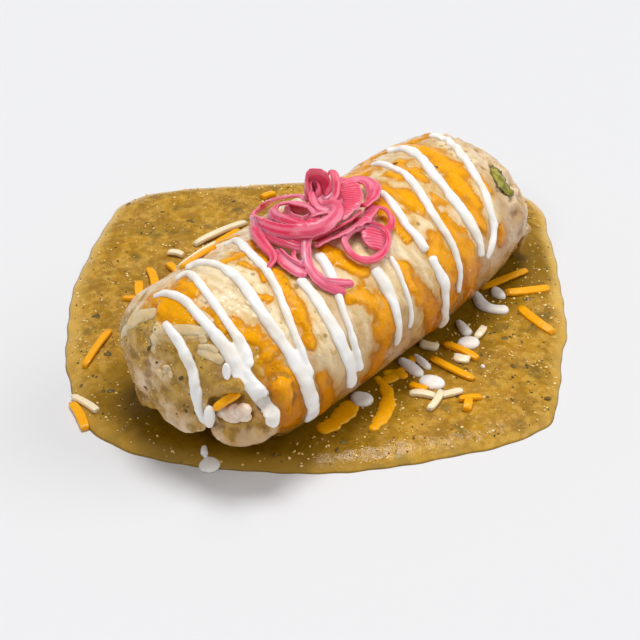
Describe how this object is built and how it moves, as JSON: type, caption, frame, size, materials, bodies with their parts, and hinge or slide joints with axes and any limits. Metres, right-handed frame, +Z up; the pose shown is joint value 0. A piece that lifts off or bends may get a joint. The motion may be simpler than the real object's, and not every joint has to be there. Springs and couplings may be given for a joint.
{
  "type": "burrito",
  "caption": "Wet burrito lying in a puddle of salsa verde, striped with crema, under melted cheese, loose cheese shreds and a heap of pickled red onion.",
  "frame": {"origin": "middle of the puddle's box, on the flat face that it rests on", "axes": "+X along the roll from its loosely tucked end to its firm end, +Z up"},
  "size_m": [0.2711, 0.2582, 0.0865],
  "materials": {
    "tortilla": "steamed flour tortilla, wet with salsa, pale beige with browned freckles",
    "salsa": "glossy cooked tomatillo salsa with seeds and flecks of charred skin",
    "onion": "glossy, slightly see-through pickled red onion",
    "chile": "glossy cooked green chile skin",
    "crema": "smooth glossy sour cream",
    "cheddar": "orange cheese, melted and glossy, or in firm shreds",
    "jack": "pale cheese, melted and translucent, or in firm shreds"
  },
  "bodies": {
    "root": {"salsa_verde": "salsa", "burrito": "tortilla", "pickled_onions": "onion", "chile_leaf": "chile"}
  },
  "joints": []
}
